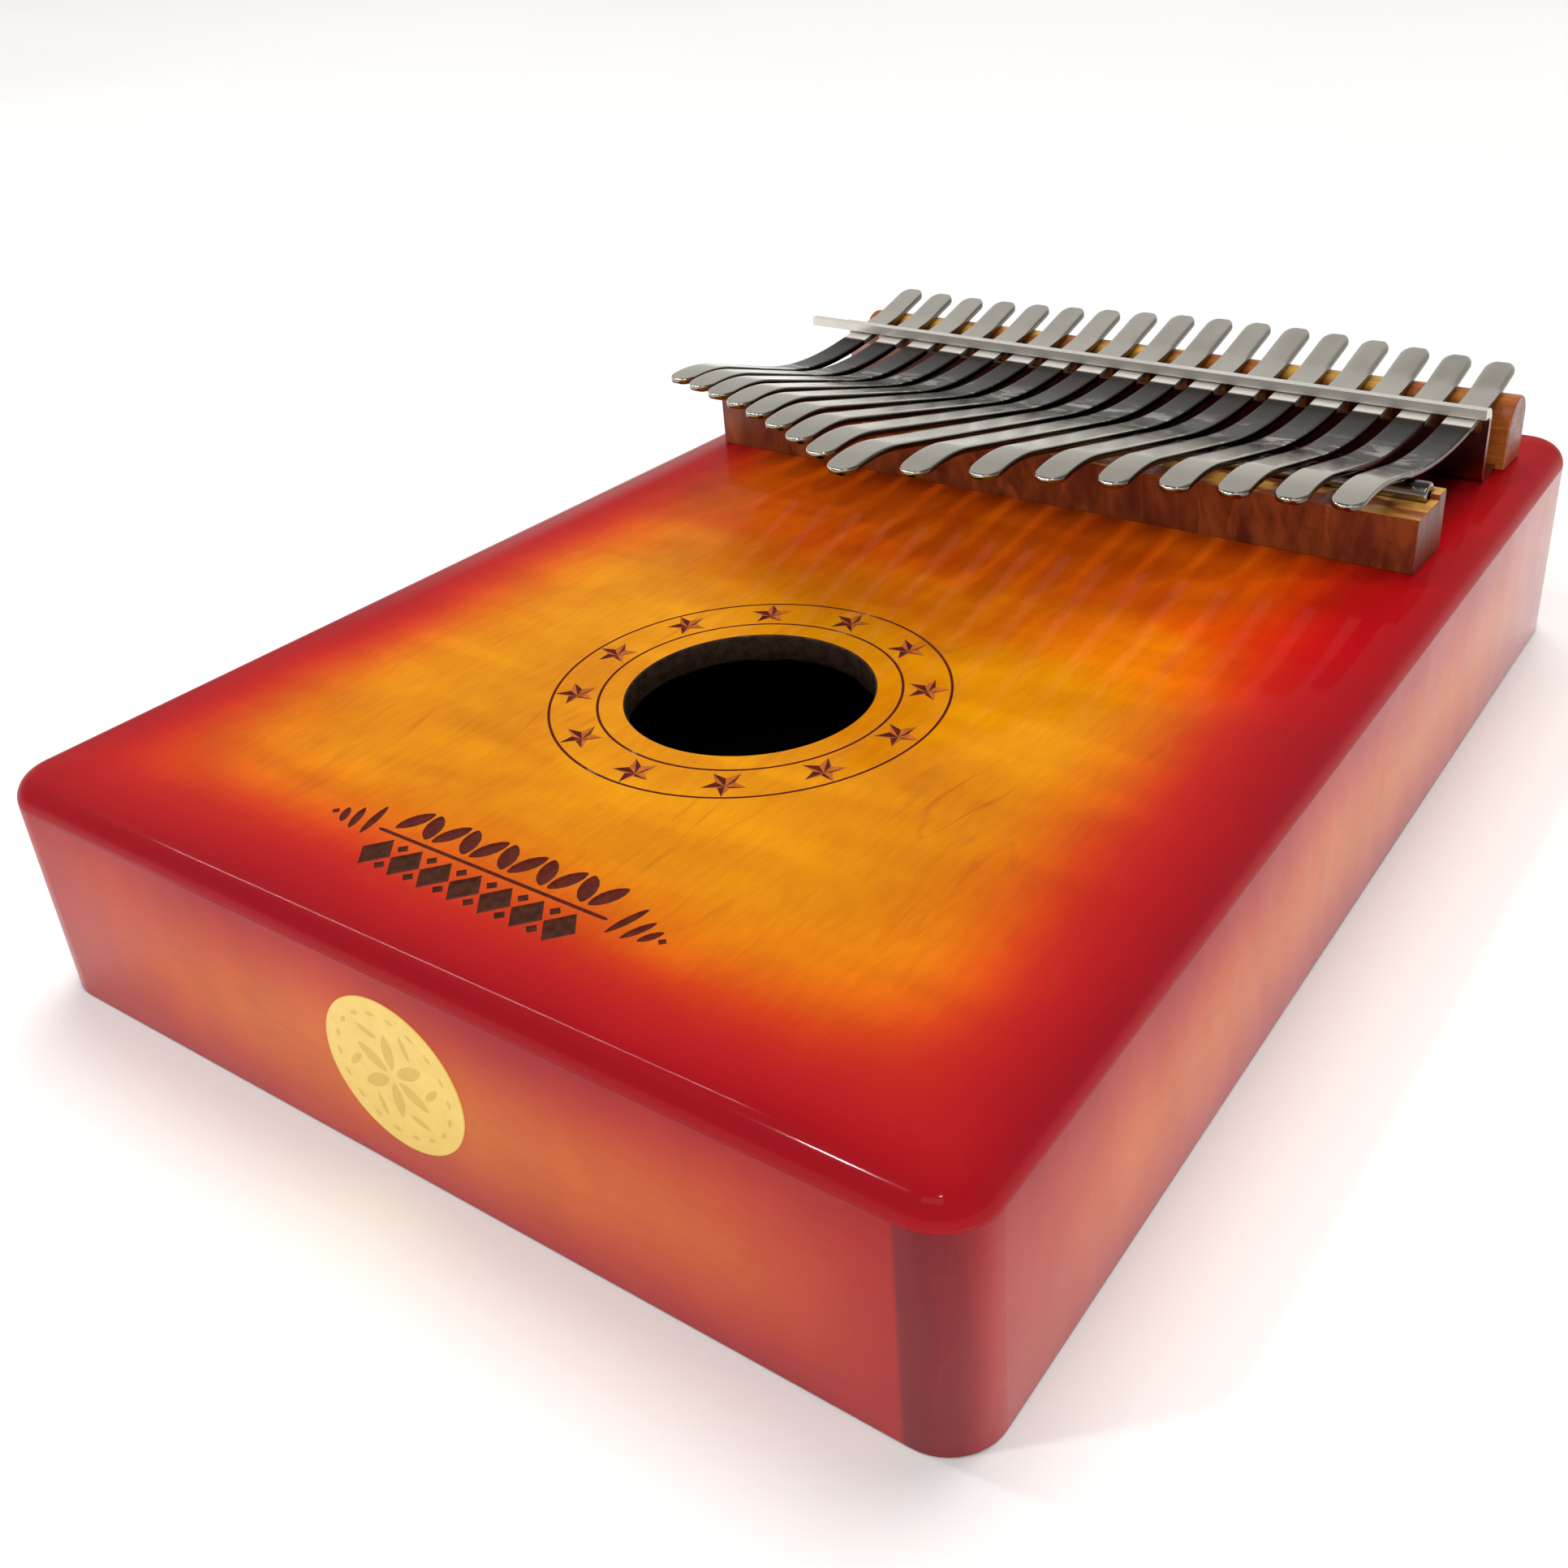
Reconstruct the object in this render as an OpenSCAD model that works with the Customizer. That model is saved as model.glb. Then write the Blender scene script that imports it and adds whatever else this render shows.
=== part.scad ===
// Box thumb piano: a hollow lacquered box with seventeen flat steel tines.
// The origin is the middle of the underside. +X runs along the short ends, +Y from the
// sound hole towards the clamped ends of the tines, +Z up through the soundboard.

/* [Box] */
// Length of the box along Y
box_l = 185; // [175:1:210]
// Width of the end beside the sound hole
near_w = 134; // [130:1:150]
// Width of the end behind the tine clamp
far_w = 119; // [119:1:150]
// Height of the box without the hardware
box_h = 30; // [26:0.5:40]
// Radius of the four upright corners
corner_r = 6; // [5:0.5:6.5]
// Radius of the rolled edge round the soundboard
edge_r = 3.5; // [2:0.25:3.5]
// Thickness of the soundboard
top_t = 3.5; // [3.5:0.5:5]
// Thickness of the back plate
back_t = 3; // [2:0.5:5]
// Thickness of the two long side boards
side_t = 7; // [7:0.5:10]
// Thickness of the two short end boards
end_t = 7; // [5:0.5:10]

/* [Sound hole] */
// Distance of the hole's centre in front of the box's middle
hole_front = 32.3; // [28:0.1:38]
// Radius of the sound hole
hole_r = 15; // [12:0.5:16]
// Radius of the inner burnt ring
inner_ring_r = 18.3; // [17:0.1:19]
// Radius of the outer burnt ring
outer_ring_r = 24.1; // [23.5:0.1:26]
// Width of a burnt line
burn_w = 0.4; // [0.2:0.1:0.8]
// Depth of the burnt lines and stars
burn_depth = 0.2; // [0.1:0.1:0.5]
// Number of stars between the rings
stars = 12; // [6:1:12]
// Radius of a star's points
star_r = 2.3; // [1.5:0.1:2.4]

/* [Front bridge] */
// Length of the front bridge
bridge_l = 112; // [112:1:113]
// Front face of the bridge, behind the box's middle
bridge_y = 34; // [32:0.5:34]
// Depth of the bridge from front to back
bridge_d = 9.8; // [9.5:0.1:12]
// Height of the bridge in front of the rod
bridge_h = 7.5; // [7.5:0.1:7.6]
// Extra height of the shoulder behind the rod
shoulder_h = 0.8; // [0.4:0.1:1]
// Radius of the round rod
rod_r = 1.6; // [1.4:0.1:1.6]
// Distance of the rod's axis behind the bridge's front face
rod_back = 7.3; // [7.2:0.1:7.4]
// Length of the rod
rod_l = 109.4; // [109:0.2:110]

/* [Pressure bracket] */
// Thickness of the bent sheet
sheet_t = 0.9; // [0.8:0.1:1]
// Front face of the upright web, behind the box's middle
web_y = 67.2; // [67:0.1:67.4]
// Length of the web
web_l = 107.6; // [107.4:0.2:109]
// Height of the bracket over the soundboard
bracket_h = 10.9; // [10.9:0.1:11]
// How far the top lip reaches in front of the web
lip_front = 1.4; // [1:0.1:2]
// How far the top lip runs on past the left end of the web
lip_left = 6.4; // [0:0.2:6.4]
// Depth of the foot behind the web's front face
foot_d = 6; // [5.8:0.1:6.1]
// Height of the slots that the tines go through
slot_h = 2.6; // [2.5:0.1:3]
// Space beside each tine in its slot
slot_gap = 0.35; // [0.3:0.05:0.45]
// Number of screws that hold the bracket's foot
screws = 4; // [3:1:4]

/* [Back bridge] */
// Length of the back bridge
back_bridge_l = 110; // [110:1:112]
// Depth of the back bridge
back_bridge_d = 7; // [6.8:0.1:7.2]
// Height of the back bridge, whose top is fully round
back_bridge_h = 10; // [9.8:0.05:10]

/* [Tines] */
// Number of tines
tines = 17; // [17:2:17]
// Distance from tine to tine
pitch = 6.3; // [6.2:0.05:6.3]
// Width of a tine
tine_w = 4.2; // [4:0.1:4.3]
// Thickness of a tine
tine_t = 0.9; // [0.8:0.05:0.9]
// Reach of the middle tine's tip past the box's middle
middle_reach = 11.7; // [8:0.1:12]
// Angle at which the right-hand tines rise from the rod
rise = 13.2; // [12:0.1:14]
// Extra rise of each next tine towards the left
rise_gain = 0.66; // [0:0.02:0.7]
// Turn of the down-curved tip
tip_turn = 20; // [10:1:25]
// Length of the curved knee before the tip
knee_l = 8; // [6:0.5:9]
// Length of the flat tip after the knee
tip_l = 2; // [1:0.5:3]

/* [Label] */
// Width of the oval label on the near end
label_w = 20; // [16:0.5:24]
// Height of the oval label
label_h = 19.2; // [14:0.2:20]
// Shift of the label to the left of the end's middle
label_left = 1.2; // [0:0.1:20]
// Height of the label's middle above the table
label_up = 13.75; // [13.6:0.05:16]
// Thickness of the label
label_t = 0.15; // [0.1:0.05:0.3]

/* [Hidden] */
board_top = box_h;
side_z = back_t;
side_h = box_h - top_t - back_t;
// The long sides lean in towards the far end by this angle
lean = atan((near_w - far_w) / 2 / box_l);
// A long side is the line x * cos(lean) + y * sin(lean) = side_c
side_c = near_w / 2 * cos(lean) - box_l / 2 * sin(lean);
smooth = 64;
fine = 96;
hole_y = -hole_front;
star_ring_r = (inner_ring_r + outer_ring_r) / 2;
star_waist = 0.4;
overlap = 1;

// Brace under the soundboard, below the bracket and the back bridge
brace_l = 104;
brace_y = 60;
brace_d = 25;
brace_h = 10;

// The rod and its seat
rod_y = bridge_y + rod_back;
seat_play = 0.02;
rod_gap = 0.35;
rod_z = board_top + bridge_h + 0.65;

// Bracket screws
screw_y = web_y + sheet_t + 2.55;
screw_head_r = 2.2;
screw_head_h = 1.5;
screw_r = 1.2;
screw_l = 12;
screw_span = 92.4;
screw_slot_w = 0.6;
screw_play = 0.05;
bend_r = 0.6;

// Back bridge
back_bridge_y = web_y + foot_d + 0.3;

// Heights of the middle of a tine's thickness over the rod, in its slot and over the back bridge
mid_rod_z = rod_z + rod_r + rod_gap + tine_t / 2;
slot_y = web_y + sheet_t / 2;
mid_slot_z = board_top + bracket_h - sheet_t - 0.4 - tine_t / 2;
rest_y = back_bridge_y + back_bridge_d / 2 - 0.7;
mid_rest_z = board_top + back_bridge_h + 0.36 + tine_t / 2;
slot_slope = 0.13;
tail_slope = 0.26;
tail_y = 84;
tail_wave = 1.4;
// A tine is cut in two over the rod, where it bends when it is plucked
cut_gap = 0.22;
knee_steps = 8;
span_steps = 12;
rest_steps = 5;

// Reach of the tips: the rows close up towards both sides
left_step = 4.3;
left_close = 0.07;
right_step = 6.68;
right_close = 0.3;

middle = (tines + 1) / 2;
function two_digits(k) = str(k < 10 ? "0" : "", k);
function tine_name(k) = str("tine_", two_digits(k));
function root_name(k) = str("tine_root_", two_digits(k));

// Box outline

// Centre of an upright corner: sx is -1 or 1 for left or right, sy for near or far
function corner(sx, sy) =
    let (y = sy * (box_l / 2 - corner_r))
    [sx * (side_c - corner_r - y * sin(lean)) / cos(lean), y];

// Half of the distance between the two long sides at y, with each moved in by inset
function half_w(y, inset = 0) = (side_c - inset - y * sin(lean)) / cos(lean);

// The two points where a corner's arc meets its long side and its short end
function side_point(sx, sy) = corner(sx, sy) + corner_r * [sx * cos(lean), sin(lean)];
function end_point(sx, sy) = corner(sx, sy) + [0, sy * corner_r];

module outline() {
    polygon([
        side_point(1, -1), side_point(1, 1), end_point(1, 1), end_point(-1, 1),
        side_point(-1, 1), side_point(-1, -1), end_point(-1, -1), end_point(1, -1)
    ]);
    for (sx = [-1, 1], sy = [-1, 1]) translate(corner(sx, sy)) circle(r = corner_r, $fn = smooth);
}

// Box

module rolled_corner() {
    flat_r = corner_r - edge_r;
    rotate_extrude($fn = smooth) {
        square([corner_r, top_t - edge_r + 0.01]);
        square([flat_r, top_t]);
        intersection() {
            translate([flat_r, top_t - edge_r]) circle(r = edge_r, $fn = smooth);
            square([corner_r, top_t]);
        }
    }
}

// A five-pointed star lying flat
module star() {
    polygon([for (i = [0:9]) let (r = i % 2 == 0 ? star_r : star_r * star_waist)
        [r * sin(36 * i), r * cos(36 * i)]]);
}

module burnt_ring(r) {
    rotate_extrude($fn = fine) translate([r - burn_w / 2, -burn_depth]) square([burn_w, burn_depth + overlap]);
}

module soundboard() {
    color("orange") difference() {
        hull() for (sx = [-1, 1], sy = [-1, 1])
            translate([corner(sx, sy).x, corner(sx, sy).y, board_top - top_t]) rolled_corner();
        translate([0, hole_y, board_top - top_t - overlap]) cylinder(r = hole_r, h = top_t + 2 * overlap, $fn = fine);
        translate([0, hole_y, board_top]) {
            burnt_ring(inner_ring_r);
            burnt_ring(outer_ring_r);
            for (i = [0:stars - 1])
                rotate(i * 360 / stars) translate([0, star_ring_r, -burn_depth])
                    linear_extrude(burn_depth + overlap) star();
        }
        screw_row() translate([0, 0, -top_t - overlap]) cylinder(r = screw_r + screw_play, h = top_t + 2 * overlap, $fn = smooth);
    }
}

module back_plate() {
    color("sandybrown") linear_extrude(back_t) outline();
}

// One long board: everything of the outline beyond the line side_t inside the long side
module side_board(sx) {
    far = box_l / 2 + overlap;
    translate([0, 0, side_z]) linear_extrude(side_h) intersection() {
        outline();
        polygon([
            [sx * half_w(-far, side_t), -far], [sx * near_w, -far],
            [sx * near_w, far], [sx * half_w(far, side_t), far]
        ]);
    }
}

module left_side() {
    color("indianred") side_board(-1);
}

module right_side() {
    color("indianred") side_board(1);
}

// A short board between the long ones, from y0 to y1
module end_board(y0, y1) {
    translate([0, 0, side_z]) linear_extrude(side_h) polygon([
        [-half_w(y0, side_t), y0], [half_w(y0, side_t), y0],
        [half_w(y1, side_t), y1], [-half_w(y1, side_t), y1]
    ]);
}

module near_end() {
    color("peru") end_board(-box_l / 2, -box_l / 2 + end_t);
}

module far_end() {
    color("peru") end_board(box_l / 2 - end_t, box_l / 2);
}

module bridge_brace() {
    color("burlywood") difference() {
        translate([-brace_l / 2, brace_y, board_top - top_t - brace_h]) cube([brace_l, brace_d, brace_h]);
        screw_row() translate([0, 0, -screw_l]) cylinder(r = screw_r, h = screw_l, $fn = smooth);
    }
}

// Bridges

// Turns a drawing of [y, z] points into a bar along X, centred on X = 0
module bar(length) {
    rotate([90, 0, 90]) linear_extrude(length, center = true) children();
}

module front_bridge() {
    color("sienna") difference() {
        bar(bridge_l) translate([bridge_y, board_top]) {
            square([bridge_d, bridge_h]);
            translate([rod_back, 0]) square([bridge_d - rod_back, bridge_h + shoulder_h]);
        }
        bar(rod_l) translate([rod_y, rod_z]) circle(r = rod_r + seat_play, $fn = smooth);
    }
}

module bridge_rod() {
    color("silver") bar(rod_l) translate([rod_y, rod_z]) circle(r = rod_r, $fn = smooth);
}

module back_bridge() {
    round_r = back_bridge_d / 2;
    color("chocolate") bar(back_bridge_l) translate([back_bridge_y, board_top]) {
        square([back_bridge_d, back_bridge_h - round_r]);
        translate([round_r, back_bridge_h - round_r]) circle(r = round_r, $fn = smooth);
    }
}

// Bracket

function tine_x(k) = (k - middle) * pitch;

// The bent sheet in section: foot to the back, web up, lip to the front
module bracket_section() {
    lip_z = bracket_h - sheet_t;
    bend = sheet_t + bend_r;
    translate([bend, 0]) square([foot_d - bend, sheet_t]);
    translate([0, bend]) square([sheet_t, bracket_h - 2 * bend]);
    translate([-lip_front, lip_z]) square([lip_front - bend_r, sheet_t]);
    quarter_bend([bend, bend], [-bend, -bend]);
    quarter_bend([-bend_r, bracket_h - bend], [0, 0]);
}

// A quarter of a bent strip round centre, cut to the square that starts at centre + corner
module quarter_bend(centre, corner) {
    bend = sheet_t + bend_r;
    translate(centre) intersection() {
        difference() {
            circle(r = bend, $fn = smooth);
            circle(r = bend_r, $fn = smooth);
        }
        translate(corner) square(bend);
    }
}

module pressure_bracket() {
    slot_w = tine_w + 2 * slot_gap;
    slot_z = board_top + bracket_h - sheet_t - slot_h;
    color("gainsboro") difference() {
        union() {
            bar(web_l) translate([web_y, board_top]) bracket_section();
            translate([-web_l / 2 - lip_left, web_y - lip_front, board_top + bracket_h - sheet_t])
                cube([lip_left + overlap, lip_front - bend_r, sheet_t]);
        }
        for (k = [1:tines])
            translate([tine_x(k) - slot_w / 2, web_y - lip_front - overlap, slot_z])
                cube([slot_w, lip_front + sheet_t + 2 * overlap, slot_h]);
        screw_row() translate([0, 0, -overlap]) cylinder(r = screw_r + screw_play, h = sheet_t + 2 * overlap, $fn = smooth);
    }
}

// Puts a child at each screw's place on the soundboard
module screw_row() {
    for (i = [0:screws - 1])
        translate([-screw_span / 2 + i * screw_span / (screws - 1), screw_y, board_top]) children();
}

module bracket_screws() {
    color("lightgray") screw_row() difference() {
        union() {
            translate([0, 0, sheet_t]) cylinder(r = screw_head_r, h = screw_head_h, $fn = smooth);
            translate([0, 0, -screw_l]) cylinder(r = screw_r, h = screw_l + sheet_t + overlap, $fn = smooth);
        }
        translate([-screw_head_r - overlap, -screw_slot_w / 2, sheet_t + screw_head_h - screw_slot_w])
            cube([2 * (screw_head_r + overlap), screw_slot_w, screw_slot_w + overlap]);
    }
}

// Tines

function from_middle(k) = abs(k - middle);
function rise_of(k) = rise + (k < middle ? rise_gain * from_middle(k) : 0);
function tip_y(k) =
    let (n = from_middle(k))
    -middle_reach + (k < middle ? left_step * n - left_close * n * n : right_step * n - right_close * n * n);
function tail_end(k) = tail_y + tail_wave * sin(360 / 16 * (k - 7));

// A smooth height between y0 and y1 with the given heights and slopes at both
function blend_z(y, y0, z0, s0, y1, z1, s1) =
    let (h = y1 - y0, t = (y - y0) / h)
    z0 * (2 * t * t * t - 3 * t * t + 1) + h * s0 * (t * t * t - 2 * t * t + t)
    + z1 * (3 * t * t - 2 * t * t * t) + h * s1 * (t * t * t - t * t);

// Height of the middle of the clamped part of tine k at y, from the rod back to the tail
function root_z(k, y) =
    y < slot_y ? blend_z(y, rod_y, mid_rod_z, -tan(rise_of(k)), slot_y, mid_slot_z, slot_slope)
    : y < rest_y ? blend_z(y, slot_y, mid_slot_z, slot_slope, rest_y, mid_rest_z, tail_slope)
    : mid_rest_z + tail_slope * (y - rest_y);

function root_angle(k, y) =
    let (e = 0.01)
    y < rod_y + 1 ? -rise_of(k) : atan((root_z(k, y + e) - root_z(k, y - e)) / (2 * e));

// Stations along a clamped part
function root_ys(k) = concat(
    [rod_y + cut_gap / 2 * cos(rise_of(k))],
    [for (i = [1:span_steps]) rod_y + (slot_y - rod_y) * i / span_steps],
    [for (i = [1:rest_steps]) slot_y + (rest_y - slot_y) * i / rest_steps],
    [tail_end(k)]
);

// [y, z, angle] along the middle of a clamped part
function root_path(k) = [for (y = root_ys(k)) [y, root_z(k, y), root_angle(k, y)]];

knee_r = knee_l / (tip_turn * PI / 180);

// Length of the straight stretch between the rod and the knee
function straight_l(k) =
    let (a = rise_of(k))
    (rod_y - tip_y(k) - knee_r * (sin(a) - sin(a - tip_turn)) - tip_l * cos(a - tip_turn)) / cos(a);

// A point of the free part: d along the straight stretch, then turned by t round the knee, then e along the tip
function free_point(k, d, t, e) =
    let (a = rise_of(k), b = a - t)
    [rod_y - d * cos(a) - knee_r * (sin(a) - sin(b)) - e * cos(b),
     mid_rod_z + d * sin(a) + knee_r * (cos(b) - cos(a)) + e * sin(b),
     -b];

function free_path(k) = concat(
    [free_point(k, cut_gap / 2, 0, 0)],
    [for (i = [0:knee_steps]) free_point(k, straight_l(k), tip_turn * i / knee_steps, 0)],
    [free_point(k, straight_l(k), tip_turn, tip_l)]
);

// The strip of sheet tine_t thick along a path of [y, z, angle]
function strip(path) =
    let (off = tine_t / 2, last = len(path) - 1)
    concat(
        [for (p = path) [p.x - off * sin(p.z), p.y + off * cos(p.z)]],
        [for (i = [last:-1:0]) let (p = path[i]) [p.x + off * sin(p.z), p.y - off * cos(p.z)]]
    );

// A flat tine with a round end at round_y, cut from the strip; its other end is past flat_y
module rounded_tine(k, path, round_y, flat_y) {
    toward = sign(flat_y - round_y);
    centre_y = round_y + toward * tine_w / 2;
    translate([tine_x(k), 0, 0]) intersection() {
        bar(tine_w + 2 * overlap) polygon(strip(path));
        linear_extrude(2 * box_h) {
            translate([0, centre_y]) circle(d = tine_w, $fn = smooth);
            translate([-tine_w / 2, min(centre_y, flat_y + toward)])
                square([tine_w, abs(flat_y + toward - centre_y)]);
        }
    }
}

module tine_root(k) {
    color("silver") rounded_tine(k, root_path(k), tail_end(k), rod_y);
}

module tine(k) {
    color("whitesmoke") rounded_tine(k, free_path(k), tip_y(k), rod_y);
}

// Label

module label() {
    color("gold") translate([-label_left, -box_l / 2, label_up]) rotate([90, 0, 0])
        linear_extrude(label_t) polygon([for (i = [0:71]) [label_w / 2 * cos(5 * i), label_h / 2 * sin(5 * i)]]);
}

soundboard();
back_plate();
left_side();
right_side();
near_end();
far_end();
bridge_brace();
front_bridge();
bridge_rod();
pressure_bracket();
bracket_screws();
back_bridge();
label();
for (k = [1:tines]) tine_root(k);
for (k = [1:tines]) tine(k);
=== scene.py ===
"""Looks for a box thumb piano: sunburst box, burnt rosette, bridges, clamp and seventeen steel tines."""

import math

import bmesh
import bpy
from mathutils import Euler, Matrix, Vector
from mathutils.geometry import delaunay_2d_cdt


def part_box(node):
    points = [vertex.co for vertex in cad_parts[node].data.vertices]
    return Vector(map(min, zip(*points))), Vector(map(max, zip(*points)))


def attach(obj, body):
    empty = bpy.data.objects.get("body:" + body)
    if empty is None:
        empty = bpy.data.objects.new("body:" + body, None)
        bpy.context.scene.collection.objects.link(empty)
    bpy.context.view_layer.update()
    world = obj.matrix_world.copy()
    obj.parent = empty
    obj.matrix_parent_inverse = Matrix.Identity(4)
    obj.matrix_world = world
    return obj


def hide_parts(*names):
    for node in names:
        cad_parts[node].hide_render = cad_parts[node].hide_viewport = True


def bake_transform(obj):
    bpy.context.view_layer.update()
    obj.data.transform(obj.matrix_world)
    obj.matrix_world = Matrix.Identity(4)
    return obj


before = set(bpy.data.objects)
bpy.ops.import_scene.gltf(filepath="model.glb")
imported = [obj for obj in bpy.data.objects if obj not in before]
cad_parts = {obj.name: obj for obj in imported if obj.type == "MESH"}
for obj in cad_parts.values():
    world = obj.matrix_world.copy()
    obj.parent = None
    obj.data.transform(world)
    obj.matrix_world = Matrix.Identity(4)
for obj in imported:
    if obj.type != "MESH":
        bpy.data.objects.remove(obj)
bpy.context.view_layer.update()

MM = 0.001
TAU = 2 * math.pi

# Box, in millimetres, as the CAD part has it
BOX_L = 185.0
NEAR_W = 134.0
FAR_W = 119.0
TOP = 30.0
TOP_T = 3.5
SIDE_T = 7.0
CORNER_R = 6.0
EDGE_R = 3.5
LEAN = math.atan((NEAR_W - FAR_W) / 2 / BOX_L)
SIDE_C = NEAR_W / 2 * math.cos(LEAN) - BOX_L / 2 * math.sin(LEAN)

# Sound hole and burnt rosette
HOLE_Y = -32.3
HOLE_R = 15.0
RING_RS = (18.3, 24.1)
RING_W = 0.34
STARS = 12
STAR_R = 2.744
STAR_RING_R = 21.2

# Tines
TINES = 17
MIDDLE = (TINES + 1) // 2
PITCH = 6.3
TINE_W = 4.2
TINE_T = 0.9
ROD_Y, ROD_Z, ROD_R, ROD_L = 41.3, 38.15, 1.6, 109.4
SLOT_Y, SLOT_Z, SLOT_SLOPE = 67.65, 39.15, 0.13
REST_Y, REST_Z, TAIL_SLOPE = 76.3, 40.81, 0.26
MID_ROD_Z = 40.55
RISE, RISE_GAIN = 13.2, 0.66
TIP_TURN, KNEE_L, TIP_L = 20.0, 8.0, 2.0
KNEE_R = KNEE_L / math.radians(TIP_TURN)
# How far the drawn tine sits closer to the rod, lip and back bridge than the CAD tine, which keeps a gap
SETTLE_ROD, SETTLE_SLOT, SETTLE_REST = -0.04, 0.28, -0.24
TIP_REACH = 0.9  # how much further the drawn tips reach
TIP_MID_Y = -11.7
TIP_STEPS = ((4.3, 0.07), (6.68, 0.3))  # how the tips step back left and right of the middle, and how that eases
TAIL_Y, TAIL_WAVE = 84, 1.4

# How finely round shapes are divided
CORNER_STEPS = 14
HOLE_SIDES = 128
GROOVE_SIDES = 180
ROD_SIDES = 48
LABEL_SIDES = 96
ALMOND_STEPS = 7
ROLL_STEPS = 8
EDGE_STEPS = 12
SHARP_ABOVE = 35  # degrees: a CAD edge sharper than this is rounded over


# Meshes


def make_object(name, verts, faces, materials, slots=None, smooth=None, body="box", node=None, ride=True):
    """A mesh object from millimetre points. slots and smooth give each face's material index and shading."""
    mesh = bpy.data.meshes.new(name)
    mesh.from_pydata([(x * MM, y * MM, z * MM) for x, y, z in verts], [], faces)
    for m in materials:
        mesh.materials.append(m)
    for i, polygon in enumerate(mesh.polygons):
        polygon.use_smooth = True if smooth is None else smooth[i]
        if slots is not None:
            polygon.material_index = slots[i]
    mesh.validate()
    mesh.update()
    obj = bpy.data.objects.new(name, mesh)
    bpy.context.scene.collection.objects.link(obj)
    if ride:
        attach(obj, body)
    if node:
        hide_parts(*([node] if isinstance(node, str) else node))
    return obj


def bevelled(name, node, width, material, segments=3, shape=None):
    """A copy of a CAD node's solid with its sharp edges rounded over. shape moves its points beforehand."""
    bm = bmesh.new()
    bm.from_mesh(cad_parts[node].data)
    bmesh.ops.remove_doubles(bm, verts=bm.verts, dist=2e-6)
    bmesh.ops.dissolve_limit(bm, angle_limit=math.radians(0.8), verts=bm.verts, edges=bm.edges)
    for v in bm.verts if shape else ():
        v.co = shape(v.co)
    sharp = [
        e for e in bm.edges
        if len(e.link_faces) == 2 and e.calc_face_angle() > math.radians(SHARP_ABOVE)
    ]
    bmesh.ops.bevel(
        bm, geom=sharp, offset=width * MM, offset_type="OFFSET", segments=segments,
        profile=0.5, affect="EDGES", clamp_overlap=True,
    )
    bmesh.ops.recalc_face_normals(bm, faces=bm.faces)
    mesh = bpy.data.meshes.new(name)
    bm.to_mesh(mesh)
    bm.free()
    mesh.materials.append(material)
    for polygon in mesh.polygons:
        polygon.use_smooth = True
        polygon.material_index = 0
    obj = bpy.data.objects.new(name, mesh)
    bpy.context.scene.collection.objects.link(obj)
    weigh_normals(obj)
    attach(obj, "box")
    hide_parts(node)
    return obj


def weigh_normals(obj):
    """Large flat faces keep their own normal, and only the narrow rounded strips shade smoothly."""
    obj.data.set_sharp_from_angle(angle=math.radians(50))
    normals = obj.modifiers.new("normals", "WEIGHTED_NORMAL")
    normals.keep_sharp = True
    normals.weight = 90


def bridge_loops(faces, a, b):
    """Quads between two closed loops of vertex numbers."""
    n = len(a)
    for i in range(n):
        j = (i + 1) % n
        faces.append((a[i], a[j], b[j], b[i]))


# Box outline


def outline(inset, corner=0.3):
    """Points round the box's edge, moved in by inset, seen from above and running counter-clockwise."""
    points = []
    lean = math.degrees(LEAN)
    r = max(CORNER_R - inset, corner)
    for sx, sy, start, end in (
        (1, -1, -90, lean), (1, 1, lean, 90), (-1, 1, 90, 180 - lean), (-1, -1, 180 - lean, 270),
    ):
        cy = sy * (BOX_L / 2 - inset - r)
        cx = sx * (SIDE_C - inset - r - cy * math.sin(LEAN)) / math.cos(LEAN)
        for i in range(CORNER_STEPS + 1):
            a = math.radians(start + (end - start) * i / CORNER_STEPS)
            points.append((cx + r * math.cos(a), cy + r * math.sin(a)))
    return points


def ring(cx, cy, r, n):
    return [(cx + r * math.cos(TAU * i / n), cy + r * math.sin(TAU * i / n)) for i in range(n)]


def placed(points, cx, cy, turn):
    c, s = math.cos(math.radians(turn)), math.sin(math.radians(turn))
    return [(cx + c * u - s * v, cy + s * u + c * v) for u, v in points]


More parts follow.
